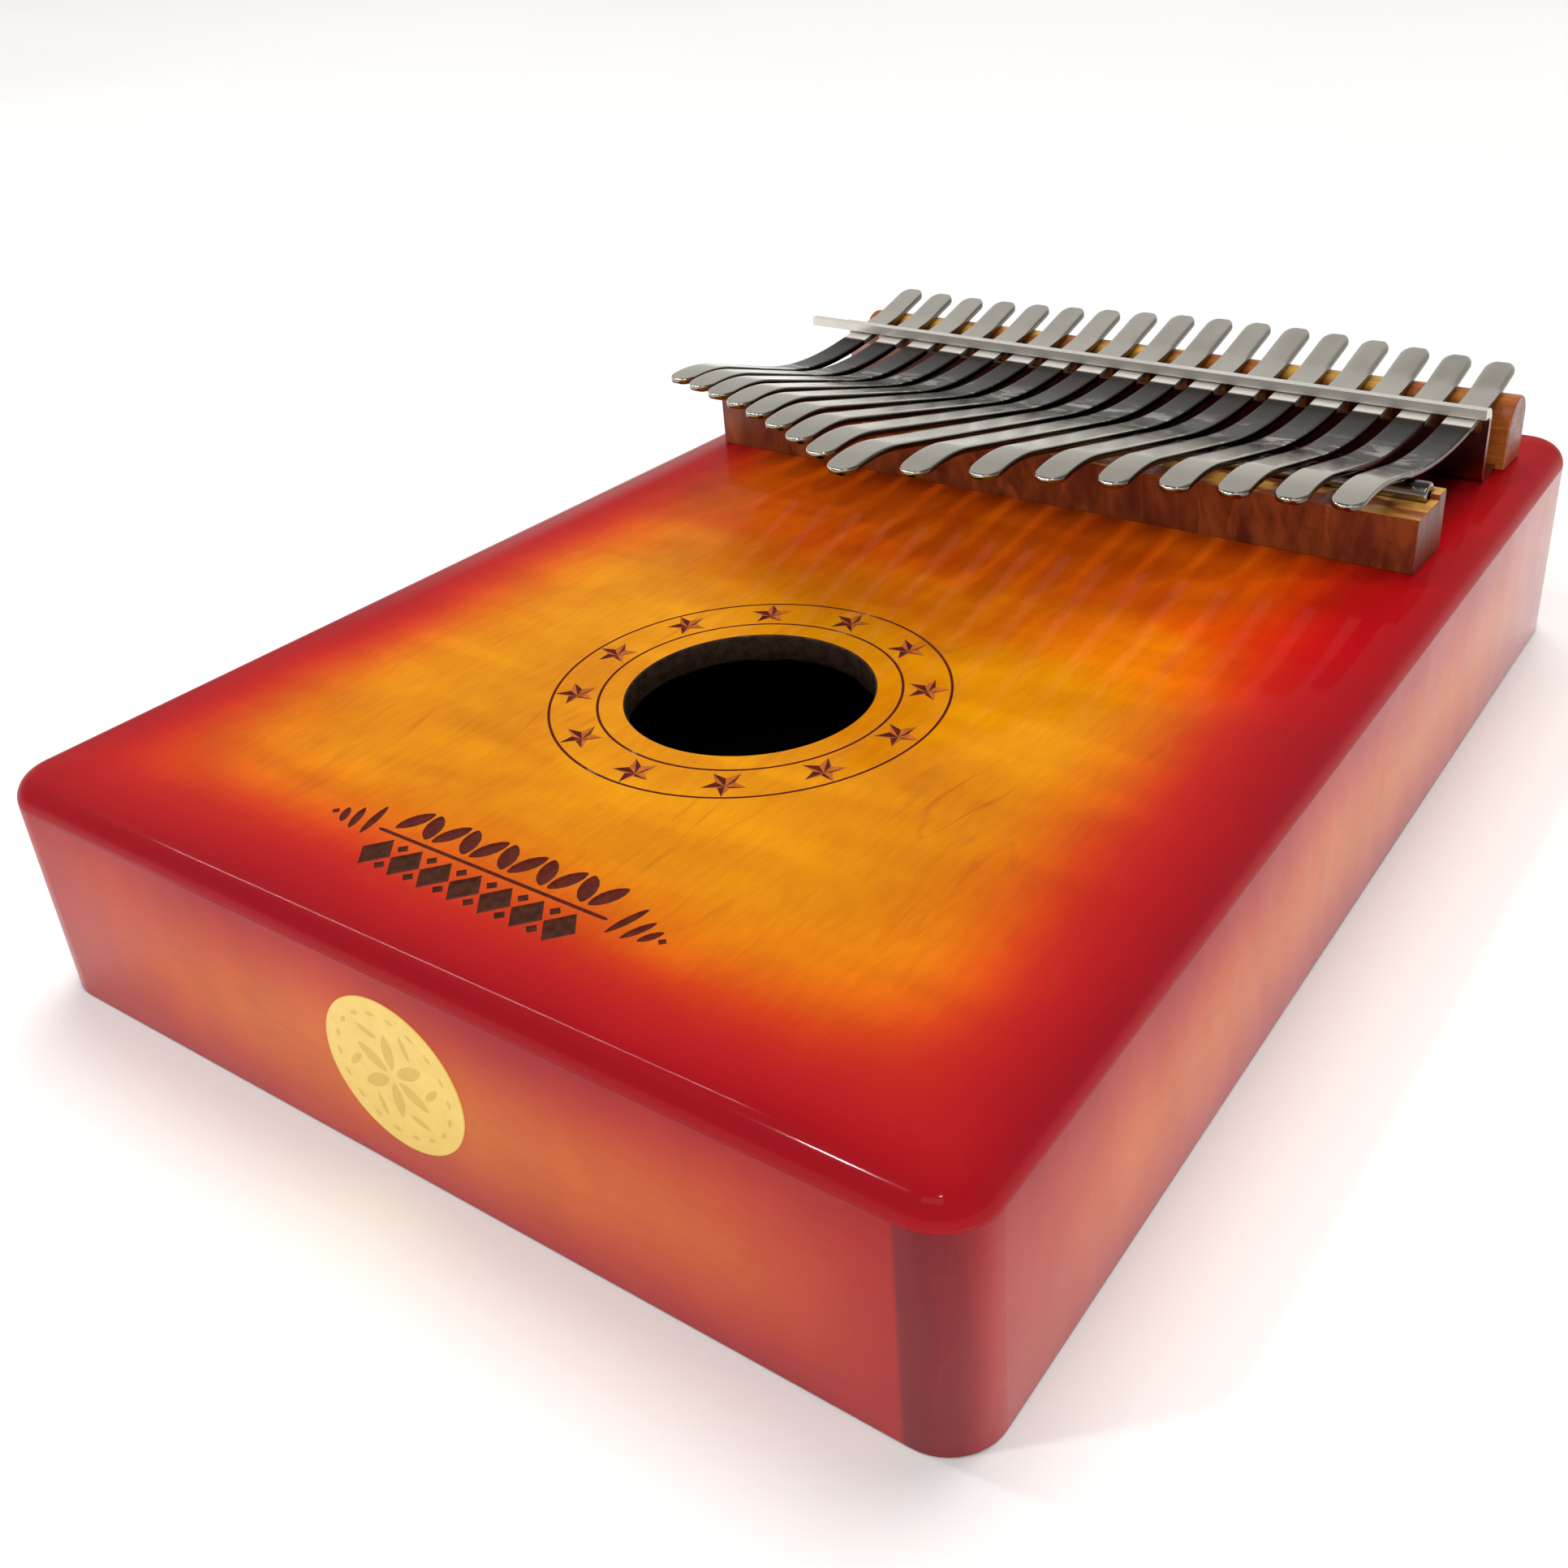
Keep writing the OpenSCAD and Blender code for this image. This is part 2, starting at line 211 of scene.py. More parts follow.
class Carving:
    """A flat field with shapes carved into it. Each shape's facets are faces of one planar triangulation."""

    def __init__(self, edge):
        self.points = [(x, y) for x, y in edge]
        self.depths = [0.0] * len(edge)
        self.edges = []
        self.faces = [list(range(len(edge)))]
        self.face_slots = [0]

    def loop(self, points, depth):
        first = len(self.points)
        self.points += points
        self.depths += [-depth] * len(points)
        return list(range(first, first + len(points)))

    def facet(self, indices, slot):
        self.faces.append(indices)
        self.face_slots.append(slot)

    def hole(self, points):
        ids = self.loop(points, 0.0)
        self.edges += [(ids[i], ids[(i + 1) % len(ids)]) for i in range(len(ids))]

    def groove(self, cx, cy, r, width, depth, slot):
        """A round V-shaped groove."""
        n = GROOVE_SIDES
        rings = [self.loop(ring(cx, cy, r + w, n), d) for w, d in ((-width / 2, 0), (0, depth), (width / 2, 0))]
        for a, b in zip(rings, rings[1:]):
            for i in range(n):
                j = (i + 1) % n
                self.facet([a[i], b[i], b[j], a[j]], slot)

    def star(self, cx, cy, r, turn, waist, depth, slots):
        """A five-pointed star cut down to its middle, each point half light and half dark."""
        rim = self.loop(
            [(cx + (r if i % 2 == 0 else r * waist) * math.sin(math.radians(36 * i - turn)),
              cy + (r if i % 2 == 0 else r * waist) * math.cos(math.radians(36 * i - turn))) for i in range(10)], 0)
        mid = self.loop([(cx, cy)], depth)[0]
        for i in range(10):
            self.facet([mid, rim[(i + 1) % 10], rim[i]], slots[i % 2])

    def leaf(self, points, cx, cy, turn, depth, slot, inner=(0.9, 0.4)):
        """A closed shape round (0, 0), carved with sloping walls down to a smaller copy of itself."""
        n = len(points)
        rim = self.loop(placed(points, cx, cy, turn), 0)
        floor = self.loop(placed([(u * inner[0], v * inner[1]) for u, v in points], cx, cy, turn), depth)
        for i in range(n):
            j = (i + 1) % n
            self.facet([rim[i], rim[j], floor[j], floor[i]], slot)
        self.facet(floor, slot)

    def build(self, gap=None):
        """Triangles as (points with depth, faces, slots). gap(x, y) is true where the field is cut away."""
        coords, _, faces, orig, _, owners = delaunay_2d_cdt(
            [Vector(p) for p in self.points], self.edges, self.faces, 1, 1e-7)
        depth = [self.depths[o[0]] if o else 0.0 for o in orig]
        kept, slots = [], []
        for face, own in zip(faces, owners):
            x = sum(coords[i].x for i in face) / len(face)
            y = sum(coords[i].y for i in face) / len(face)
            if gap and gap(x, y):
                continue
            a, b, c = (coords[i] for i in face[:3])
            area = (b - a).cross(c - a)
            kept.append(list(face) if area > 0 else list(face)[::-1])
            slots.append(self.face_slots[max(own)] if own else 0)
        number = {}
        for i, o in enumerate(orig):
            for k in o:
                number[k] = i
        return [(p.x, p.y, d) for p, d in zip(coords, depth)], kept, slots, number


def almond(length, width):
    """A leaf shape with pointed ends, along u."""
    turns = [math.pi * i / ALMOND_STEPS for i in range(ALMOND_STEPS)]
    upper = [(length / 2 * math.cos(a), width / 2 * math.sin(a) ** 1.4) for a in turns]
    return upper + [(-u, -v) for u, v in upper]


def lozenge(length, width):
    return [(length / 2, 0), (0.0, width / 2), (-length / 2, 0), (-0.0, -width / 2)]


def bar(length, width):
    return [(length / 2, 0), (length / 2 - width, width / 2), (-length / 2 + width, width / 2),
            (-length / 2, 0), (-length / 2 + width, -width / 2), (length / 2 - width, -width / 2)]


# Materials


class Look:
    """A Principled material with a few shorthands for its nodes."""

    def __init__(self, name, **values):
        self.material = bpy.data.materials.new(name)
        self.material.use_nodes = True
        self.tree = self.material.node_tree
        self.shader = self.tree.nodes["Principled BSDF"]
        for key, value in values.items():
            self.shader.inputs[key.replace("_", " ")].default_value = value
        self.place = self.node("ShaderNodeTexCoord").outputs["Object"]

    def node(self, kind, inputs=None, **attributes):
        made = self.tree.nodes.new(kind)
        for key, value in attributes.items():
            setattr(made, key, value)
        for key, value in (inputs or {}).items():
            self.plug(made.inputs[key], value)
        return made

    def plug(self, socket, value):
        if isinstance(value, bpy.types.NodeSocket):
            self.tree.links.new(value, socket)
        else:
            socket.default_value = value

    def math(self, operation, *values, clamp=False):
        made = self.node("ShaderNodeMath", operation=operation, use_clamp=clamp)
        for socket, value in zip(made.inputs, values):
            self.plug(socket, value)
        return made.outputs[0]

    def times(self, a, b):
        return self.math("MULTIPLY", a, b)

    def facing(self, axis):
        """How far the surface turns towards an axis, -1 to 1."""
        normal = self.node("ShaderNodeNewGeometry").outputs["Normal"]
        return self.node("ShaderNodeSeparateXYZ", {0: normal}).outputs[axis]

    def axes(self):
        made = self.node("ShaderNodeSeparateXYZ", {0: self.place})
        return made.outputs

    def noise(self, scale, stretch=(1, 1, 1), detail=3.0, roughness=0.55, at=(0, 0, 0), distortion=0.0):
        moved = self.node("ShaderNodeMapping", {"Vector": self.place, "Scale": stretch, "Location": at})
        made = self.node("ShaderNodeTexNoise", {
            "Vector": moved.outputs[0], "Scale": scale, "Detail": detail, "Roughness": roughness,
            "Distortion": distortion})
        return made.outputs["Fac"]

    def between(self, value, low, high, to_low=0.0, to_high=1.0, smooth=True):
        made = self.node("ShaderNodeMapRange", {
            "Value": value, "From Min": low, "From Max": high, "To Min": to_low, "To Max": to_high},
            interpolation_type="SMOOTHSTEP" if smooth else "LINEAR")
        return made.outputs["Result"]

    def ramp(self, value, stops):
        made = self.node("ShaderNodeValToRGB", {"Fac": value})
        elements = made.color_ramp.elements
        while len(elements) < len(stops):
            elements.new(1.0)
        for element, (at, colour) in zip(elements, stops):
            element.position = at
            element.color = (*colour, 1.0)
        return made.outputs["Color"]

    def mix(self, share, a, b, blend="MIX"):
        made = self.node("ShaderNodeMix", data_type="RGBA", blend_type=blend)
        self.plug(made.inputs["Factor"], share)
        for socket, value in ((made.inputs["A"], a), (made.inputs["B"], b)):
            if isinstance(value, tuple) and len(value) == 3:
                value = (*value, 1.0)
            self.plug(socket, value)
        return made.outputs["Result"]

    def bump(self, height, strength, distance):
        made = self.node("ShaderNodeBump", {"Height": height, "Strength": strength, "Distance": distance})
        return made.outputs["Normal"]

    def set(self, **sockets):
        for key, value in sockets.items():
            self.plug(self.shader.inputs[key.replace("_", " ")], value)
        return self.material


# The sunburst's colours from the box's outline inwards, over BURST_D millimetres
AMBER = (
    (0.00, (0.245, 0.005, 0.010)), (0.10, (0.285, 0.005, 0.009)), (0.22, (0.350, 0.008, 0.009)),
    (0.33, (0.415, 0.016, 0.008)), (0.43, (0.490, 0.040, 0.005)), (0.53, (0.540, 0.084, 0.003)),
    (0.66, (0.570, 0.145, 0.001)), (0.82, (0.585, 0.195, 0.001)), (1.00, (0.585, 0.215, 0.001)),
)
BURST_D = 30.0
CORNER_POWER = 3.2  # how squarely the sunburst follows the corners


def side_distance(look, x, y):
    """Distance in from the nearer long side, in millimetres."""
    return look.math("SUBTRACT", SIDE_C, look.math("ADD",
        look.times(look.math("ABSOLUTE", x), math.cos(LEAN) / MM),
        look.times(y, math.sin(LEAN) / MM)))


def edge_distance(look):
    """Distance in from the box's outline, in millimetres, rounded off in the corners."""
    x, y, _ = look.axes()
    side = side_distance(look, x, y)
    end = look.math("SUBTRACT", BOX_L / 2, look.times(look.math("ABSOLUTE", y), 1 / MM))
    total = look.math("ADD", look.math("POWER", look.math("MAXIMUM", side, 0.05), -CORNER_POWER),
        look.math("POWER", look.math("MAXIMUM", end, 0.05), -CORNER_POWER))
    return look.math("POWER", total, -1 / CORNER_POWER)


def shaded(look, colour, light, green):
    """The colour made lighter or darker. Its green changes more, by a power, so that shade is redder."""
    tone = look.node("ShaderNodeCombineColor", {0: light, 1: look.math("POWER", light, green), 2: light})
    return look.mix(1.0, colour, tone.outputs[0], "MULTIPLY")


def maple(look, colour, strength=1.0, along="y", where=1.0):
    """Soft cross bands and clouds of curly maple and, where they are wanted, a few thin wandering grain lines."""
    lines, cross = ((110, 20, 110), (34, 120, 34)) if along == "y" else ((20, 110, 110), (120, 34, 34))
    for at, width, share in (((3, 1, 7), 0.0170, 0.42), ((9, 5, 2), 0.0240, 0.26)):
        wander = look.noise(1.0, lines, 1.0, 0.4, at=at, distortion=0.5)
        off = look.math("ABSOLUTE", look.math("SUBTRACT", wander, 0.5))
        fade = look.times(look.between(look.noise(60.0, detail=3.0, at=at), 0.48, 0.66), where)
        line = look.times(look.between(off, 0.0, width, share * strength, 0.0), fade)
        colour = look.mix(line, colour, (0.36, 0.075, 0.008))
    curl = look.noise(1.0, cross, 1.0, 0.5, at=(5, 2, 1), distortion=0.5)
    blotch = look.noise(38.0, detail=3.0, at=(1, 4, 2))
    pore = look.noise(1.0, tuple(v * 12 for v in lines), 3.0, 0.6)
    light = look.between(curl, 0.33, 0.68, 1 - 0.08 * strength, 1 + 0.04 * strength)
    light = look.times(light, look.between(blotch, 0.34, 0.66, 1 - 0.10 * strength, 1 + 0.05 * strength))
    light = look.times(light, look.between(pore, 0.35, 0.7, 1.02, 1 - 0.05 * strength))
    return shaded(look, colour, light, 1.8)


def ribbons(look, colour, share):
    """The narrow lengthwise ribbons that curly maple shows in front of the bridge."""
    ribbon = look.noise(1.0, (330, 46, 330), 0.0, 0.4, at=(2, 2, 2), distortion=0.25)
    cloud = look.noise(60.0, detail=1.0, at=(4, 4, 9))
    light = look.between(ribbon, 0.30, 0.70, 0.91, 1.09)
    share = look.times(share, look.between(cloud, 0.35, 0.6, 0.35, 1.0))
    return look.mix(share, colour, shaded(look, colour, light, 2.0))


def lacquer_gloss(look, base_rough=0.42):
    """Uneven gloss: faint wipe marks in the lacquer's roughness and a very slight orange-peel swell."""
    wipe = look.noise(55.0, (1, 2.4, 1), 4.0, at=(2, 0, 3))
    swell = look.noise(210.0, detail=2.0)
    look.set(
        Roughness=look.between(wipe, 0.3, 0.7, base_rough - 0.05, base_rough + 0.06),
        Coat_Normal=look.bump(swell, 0.05, 0.00025),
    )


# Where the top's finish, its painted shade in front of the bridge and its painted shade between the bridges change, in
# metres. SHOULDER is a distance in from the long side, in millimetres.
BRIDGE_SHADE_Y = (-0.016, 0.012)
BRIDGE_SHADE_X = (-0.054, -0.032)
SHADE_FROM_Y = (0.0425, 0.0455)
SHADE_TO_Y = (0.0735, 0.0725)
SHADE_TO_X = (0.057, 0.048)
ROUNDED_EDGE_Z = (0.0270, 0.0292)
SHOULDER = (8.0, 3.8)
SHOULDER_Z = (0.0292, 0.0297)
GLOSSY_TO_X = (0.0, -0.03)
GLOSSY_FROM_Y = (-0.060, 0.010)


def sunburst_top():
    """The soundboard: amber in the middle, crimson at the edge, ribboned in front of the bridge, with painted shade
    that makes it darker and redder there and nearly black between the bridges.
    """
    look = Look("sunburst_top", Coat_Roughness=0.07, Coat_IOR=1.5, Specular_IOR_Level=0.02)
    depth = edge_distance(look)
    x, y, z = look.axes()
    shoulder = look.times(look.between(side_distance(look, x, y), *SHOULDER), look.between(z, *SHOULDER_Z))
    left = look.times(look.between(x, *GLOSSY_TO_X), look.between(y, *GLOSSY_FROM_Y))
    look.set(Coat_Weight=look.math("MULTIPLY_ADD", look.times(shoulder, left), 0.8, 0.15))
    drift = look.between(look.noise(24.0, detail=3.0, at=(6, 1, 0)), 0.25, 0.75, -2.2, 2.2, smooth=False)
    depth = look.math("ADD", depth, drift)
    colour = look.ramp(look.math("DIVIDE", depth, BURST_D, clamp=True), AMBER)
    inner = look.between(depth, 5.0, 16.0)
    colour = look.mix(inner, colour, maple(look, colour, where=look.between(y, 0.000, -0.020)))
    # Painted shade in front of the bridge, where the tines and the bridge shade the top: darker and redder, with a
    # wavering edge, fading out towards the left.
    wander = look.between(look.noise(40.0, (1, 2, 1), 3.0, at=(8, 3, 1)), 0.3, 0.7, -0.004, 0.004)
    bridge_shade = look.between(look.math("ADD", y, wander), *BRIDGE_SHADE_Y)
    bridge_shade = look.times(bridge_shade, look.between(x, *BRIDGE_SHADE_X, 0.25, 1.0))
    colour = ribbons(look, colour, look.times(bridge_shade, inner))
    colour = look.mix(bridge_shade, colour, (1.14, 0.45, 0.65), "MULTIPLY")
    # Painted shade between the bridges, under the tines: the top is made nearly black there.
    shade_between_bridges = look.times(look.between(y, *SHADE_FROM_Y), look.between(y, *SHADE_TO_Y))
    shade_between_bridges = look.times(shade_between_bridges, look.between(look.math("ABSOLUTE", x), *SHADE_TO_X))
    colour = look.mix(shade_between_bridges, colour, (0.050, 0.060, 0.15), "MULTIPLY")
    colour = look.mix(look.between(z, *ROUNDED_EDGE_Z), (0.330, 0.006, 0.011), colour)
    lacquer_gloss(look)
    return look.set(Base_Color=colour)


def burnt(name, colour, deep):
    """Wood scorched by a hot point, under the same lacquer. Also gives the near-black painted shade of the sound hole's
    wall and the soundboard's underside.
    """
    look = Look(name, Coat_Weight=0.15, Coat_Roughness=0.1, Coat_IOR=1.5, Specular_IOR_Level=0.05)
    soot = look.noise(900.0, detail=4.0)
    lacquer_gloss(look, 0.6)
    return look.set(Base_Color=look.mix(look.between(soot, 0.35, 0.68), colour, deep))


# The sides' colours from their edges inwards
SIDE_BURST = (
    (0.00, (0.300, 0.006, 0.012)), (0.16, (0.340, 0.008, 0.013)), (0.34, (0.410, 0.020, 0.014)),
    (0.55, (0.490, 0.048, 0.012)), (0.78, (0.560, 0.092, 0.010)), (1.00, (0.590, 0.120, 0.010)),
)
SIDE_FADE_H, SIDE_FADE_L = 14.0, 34.0  # millimetres over which they fade, up from the edges and in from the corners
SIDE_POWER = 2.4
END_GRAIN_L = (5.5, 0.6)  # millimetres from either end, where the right board's end grain begins and is full


def sunburst_side(look):
    """Sides: orange along the middle, shading to red at the top and bottom edges and towards the corners, with a
    painted pale sheen on the right side towards its far end.
    """
    x, y, z = look.axes()
    height = look.times(z, 1 / MM)
    lift = look.math("MINIMUM", look.math("ADD", height, 3.5), look.math("SUBTRACT", TOP - 1, height))
    reach = look.math("MAXIMUM",
        look.math("SUBTRACT", NEAR_W / 2 + 3, look.times(look.math("ABSOLUTE", x), 1 / MM)),
        look.math("SUBTRACT", BOX_L / 2 + 4, look.times(look.math("ABSOLUTE", y), 1 / MM)))
    drift = look.between(look.noise(30.0, detail=3.0, at=(1, 2, 6)), 0.25, 0.75, -2.2, 2.2, smooth=False)
    near = look.math("DIVIDE", look.math("ADD", lift, drift), SIDE_FADE_H)
    far = look.math("DIVIDE", look.math("ADD", reach, drift), SIDE_FADE_L)
    total = look.math("ADD", look.math("POWER", look.math("MAXIMUM", near, 0.02), -SIDE_POWER),
        look.math("POWER", look.math("MAXIMUM", far, 0.02), -SIDE_POWER))
    share = look.math("POWER", total, -1 / SIDE_POWER, clamp=True)
    facing = look.facing("Y")
    top = look.between(y, -0.060, 0.040, 0.22, 0.62)
    veil = look.node("ShaderNodeMapRange", {0: z, 1: 0.002, 2: 0.029, 3: 0.95, 4: top}).outputs[0]
    look.set(Coat_Weight=look.times(veil, look.between(facing, -0.9, -0.2, 0.66, 1.0)))
    lacquer_gloss(look, 0.45)
    colour = look.ramp(share, SIDE_BURST)
    # Painted sheen: the right side turns pale and greyish towards its far end, as a reflection would.
    painted_sheen = look.times(look.between(y, 0.045, 0.095, 0.0, 0.34), look.between(facing, 0.75, 0.3))
    colour = look.mix(look.times(painted_sheen, look.between(x, 0.0, 0.02)), colour, (0.61, 0.515, 0.51))
    end = look.between(look.math("ABSOLUTE", y), *((BOX_L / 2 - v) * MM for v in END_GRAIN_L))
    skin = look.math("SUBTRACT", NEAR_W / 2, look.times(x, 1 / MM))
    end = look.times(end, look.between(skin, SIDE_T + 0.3, SIDE_T - 0.3))
    pores = look.between(look.noise(1.0, (420, 420, 40), 4.0), 0.3, 0.7)
    grain = look.mix(pores, (0.165, 0.012, 0.017), (0.120, 0.009, 0.014))
    return look.mix(look.times(end, 0.8), colour, grain)


def chamber_shade(look, colour, inside):
    """Painted shade: the chamber's walls are painted nearly black."""
    grain = look.between(look.noise(1.0, (120, 30, 120), 4.0), 0.3, 0.7)
    dark = look.mix(grain, (0.010, 0.006, 0.005), (0.022, 0.013, 0.010))
    return look.mix(inside, colour, dark)


def board_material(name, along):
    """A side board: its outer face and its end grain, with the chamber's painted shade inside."""
    look = Look(name, Coat_Roughness=0.15, Coat_IOR=1.5, Specular_IOR_Level=0.08)
    colour = maple(look, sunburst_side(look), 0.5, along)
    depth = edge_distance(look)
    # Painted shade on the faces inside the chamber.
    inside = look.between(depth, SIDE_T - 0.6, SIDE_T - 0.3)
    return look.set(Base_Color=chamber_shade(look, colour, inside))


def back_material():
    """The back, with the sides' own finish carried down over its rim and painted shade on its inner face."""
    look = Look("sunburst_back", Coat_Roughness=0.15, Coat_IOR=1.5, Specular_IOR_Level=0.08)
    depth = edge_distance(look)
    drift = look.between(look.noise(24.0, detail=3.0, at=(3, 5, 2)), 0.25, 0.75, -2.2, 2.2, smooth=False)
    colour = look.ramp(look.math("DIVIDE", look.math("ADD", depth, drift), BURST_D, clamp=True), AMBER)
    colour = maple(look, colour)
    up = look.facing("Z")
    edge = look.mix(look.between(look.math("ABSOLUTE", up), 0.75, 0.95), sunburst_side(look), colour)
    # Painted shade on the upward, inner face.
    return look.set(Base_Color=chamber_shade(look, edge, look.between(up, 0.5, 0.9)))


def hardwood(name, light, dark, gold, upright, gloss=0.42):
    """Oiled hardwood: pale flecks, dark pores, painted light as golden patches on the upward faces, darker end grain.
    upright turns the flecks up.
    """
    look = Look(name, Coat_Weight=0.3, Coat_Roughness=0.25, Specular_IOR_Level=0.3)
    run = (260, 260, 90) if upright else (60, 520, 520)
    grain = look.noise(1.0, run, 4.0, 0.6, distortion=0.6)
    fleck = look.noise(1.0, tuple(v * 1.4 for v in run), 2.0, 0.5, at=(4, 1, 2), distortion=0.8)
    fleck = look.between(fleck, 0.58, 0.72)
    pore = look.between(look.noise(1.0, (300, 1500, 1500), 3.0, 0.6, at=(4, 1, 2)), 0.62, 0.74)
    patch = look.between(look.noise(1.0, (100, 170, 170), 2.0, 0.5, at=(2, 7, 1), distortion=0.5), 0.47, 0.58)
    colour = look.mix(look.between(grain, 0.32, 0.68), dark, light)
    colour = look.mix(look.times(fleck, 0.35), colour, tuple(v * 1.9 for v in light))
    # Painted light: golden patches only on the faces that turn up towards the light.
    top = look.times(patch, look.between(look.facing("Z"), 0.5, 0.9))
    colour = look.mix(top, colour, look.mix(look.between(grain, 0.35, 0.65), gold, tuple(v * 0.6 for v in gold)))
    colour = look.mix(look.times(pore, 0.5), colour, (0.028, 0.008, 0.004))
    end = look.between(look.math("ABSOLUTE", look.facing("X")), 0.6, 0.9)
    colour = look.mix(end, colour, (0.62, 0.50, 0.80), "MULTIPLY")
    height = look.math("ADD", look.times(grain, 0.4), look.times(pore, -1.0))
    return look.set(
        Base_Color=colour,
        Roughness=look.between(grain, 0.3, 0.7, gloss + 0.08, gloss - 0.06),
        Normal=look.bump(height, 0.2, 0.0001),
    )


def raw_wood():
    """The bare hardwood of the brace."""
    look = Look("raw_wood", Specular_IOR_Level=0.25)
    grain = look.noise(1.0, (35, 520, 520), 4.0, 0.6, distortion=0.4)
    colour = look.mix(look.between(grain, 0.3, 0.7), (0.50, 0.33, 0.18), (0.66, 0.49, 0.30))
    return look.set(Base_Color=colour, Roughness=look.between(grain, 0.3, 0.7, 0.72, 0.6),
        Normal=look.bump(grain, 0.3, 0.0001))


# Noise scales of the hairline scratches along Y and along X
HAIR_ALONG = (2600, 60, 2600)
HAIR_ACROSS = (60, 2600, 2600)


def steel(name, tint, rough):
    """Polished steel with hairline scratches along X, faint smears and slightly dulled spots."""
    look = Look(name, Metallic=1.0)
    hair = look.noise(1.0, HAIR_ACROSS, 3.0, 0.6)
    smear = look.noise(130.0, (1, 0.5, 1), 4.0, at=(5, 3, 1))
    spot = look.between(look.noise(640.0, detail=2.0, at=(9, 2, 4)), 0.66, 0.74)
    colour = look.mix(look.between(smear, 0.35, 0.7), tint, tuple(v * 0.90 for v in tint))
    colour = look.mix(look.times(spot, 0.35), colour, tuple(v * 0.6 for v in tint))
    shine = look.math("ADD", look.between(smear, 0.3, 0.75, rough * 0.7, rough * 1.5),
        look.times(hair, 0.03))
    return look.set(Base_Color=colour, Roughness=shine, Normal=look.bump(hair, 0.06, 0.00004))


# Where the tines' finish and their painted reflections change along Y, in metres
DARK_REFLECTION_FROM = (0.0270, 0.0460)
DARK_REFLECTION_TO = (0.0640, 0.0631)
PATCHES_TO = (0.0580, 0.0440)
SHADED_FROM = (0.0300, 0.0180)
RUBBED_HIGHLIGHT_FROM = (0.0631, 0.0639)
RUBBED_HIGHLIGHT_TO = (0.0690, 0.0672)


def clamped_steel(name, tint, rough):
    """The tines' steel: painted dark as a dark reflection from rod to bracket, with lighter patches; worn matt and
    painted bright as a highlight in front of the lip; painted shade on its sides and underside; painted a little dimmer
    towards the tips.
    """
    look = Look(name)
    _, y, _ = look.axes()
    hair = look.noise(1.0, HAIR_ALONG, 3.0, 0.6)
    smear = look.noise(130.0, (1, 0.5, 1), 4.0, at=(5, 3, 1))
    drift = look.between(look.noise(260.0, detail=3.0, at=(2, 4, 1)), 0.3, 0.7, -0.0014, 0.0014, smooth=False)
    place = look.math("ADD", y, drift)
    # Painted reflection: from rod to bracket the steel is made nearly black, broken by lighter patches.
    dark = look.times(look.between(place, *DARK_REFLECTION_FROM), look.between(y, *DARK_REFLECTION_TO))
    patch = look.between(look.noise(1.0, (170, 330, 170), 3.0, 0.6, at=(7, 7, 3), distortion=0.6), 0.49, 0.62)
    patch = look.times(patch, look.between(y, *PATCHES_TO))
    dark = look.times(dark, look.between(patch, 0.0, 1.0, 1.0, 0.25))
    colour = look.mix(look.between(smear, 0.35, 0.7), tint, tuple(v * 0.93 for v in tint))
    # Painted a little dimmer towards the tips, to tone down their reflection.
    colour = look.mix(look.between(y, *SHADED_FROM), colour, (0.80, 0.80, 0.78), "MULTIPLY")
    colour = look.mix(dark, colour, (0.028, 0.021, 0.016))
    # Worn matt and painted bright as a highlight just in front of the lip.
    rubbed_highlight = look.times(look.between(y, *RUBBED_HIGHLIGHT_FROM), look.between(y, *RUBBED_HIGHLIGHT_TO))
    colour = look.mix(rubbed_highlight, colour, (0.74, 0.71, 0.66))
    # Painted shade on the sides and the underside.
    side = look.between(look.math("ABSOLUTE", look.facing("X")), 0.60, 0.85)
    sides_and_underside_shade = look.math("MAXIMUM", side, look.between(look.facing("Z"), 0.25, -0.1))
    colour = look.mix(look.times(sides_and_underside_shade, 0.85), colour, (0.035, 0.022, 0.015))
    shine = look.math("ADD", look.between(smear, 0.3, 0.75, rough * 0.7, rough * 1.5),
        look.times(hair, 0.03))
    shine = look.math("MAXIMUM", shine, look.times(rubbed_highlight, 0.4))
    return look.set(Base_Color=colour, Metallic=look.math("MULTIPLY_ADD", rubbed_highlight, -0.65, 1.0), Roughness=shine,
        Normal=look.bump(hair, 0.05, 0.00004))


def bracket_steel(name, tint, rough):
    """The folded sheet's steel, brushed bright along its lip, with a painted dark red reflection of the soundboard
    below the lip.
    """
    look = Look(name)
    _, _, z = look.axes()
    hair = look.noise(1.0, HAIR_ACROSS, 3.0, 0.6)
    smear = look.noise(130.0, (0.5, 1, 1), 4.0, at=(5, 3, 1))
    lip = look.between(z, 0.0392, 0.0398)
    colour = look.mix(look.between(smear, 0.35, 0.7), tint, tuple(v * 0.88 for v in tint))
    # Painted reflection: below the lip the steel is tinted dark red, as the soundboard seen in it.
    colour = look.mix(lip, (0.36, 0.20, 0.18), colour)
    shine = look.math("ADD", look.between(smear, 0.3, 0.75, rough * 0.8, rough * 1.5),
        look.times(hair, 0.05))
    return look.set(Base_Color=colour, Metallic=look.math("MULTIPLY_ADD", lip, -0.45, 1.0), Roughness=shine,
        Normal=look.bump(hair, 0.08, 0.00005))


